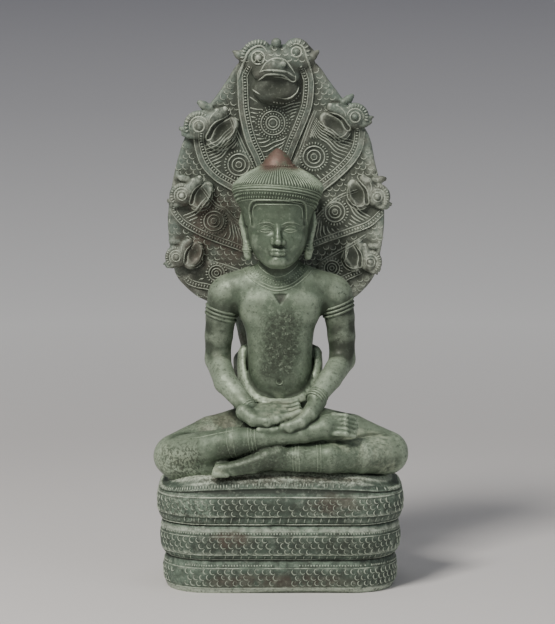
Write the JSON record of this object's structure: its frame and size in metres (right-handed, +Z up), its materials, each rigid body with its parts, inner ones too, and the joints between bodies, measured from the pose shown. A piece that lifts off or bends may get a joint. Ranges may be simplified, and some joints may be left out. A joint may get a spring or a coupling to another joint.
{
  "type": "seated buddha sheltered by a naga",
  "caption": "Crowned meditating figure seated on a coiled serpent plinth, sheltered from behind by a many-headed serpent hood; a standing bronze sculpture.",
  "frame": {"origin": "centre of the base's flat underside, where the sculpture stands", "axes": "+Z up to the top of the hood, -Y the way the figure faces, +X to the viewer's right"},
  "size_m": [0.2739, 0.1657, 0.5793],
  "materials": {
    "coil_bronze": "cast bronze with a dark grey-green patina and pale verdigris in the grooves",
    "figure_bronze": "cast bronze with a smooth sage-green patina, pitted on the chest",
    "hood_bronze": "cast bronze with a brown-green patina, worn pale on the raised edges"
  },
  "bodies": {
    "root": {"coil_base": "coil_bronze", "buddha_figure": "figure_bronze", "naga_hood": "hood_bronze"}
  },
  "joints": []
}
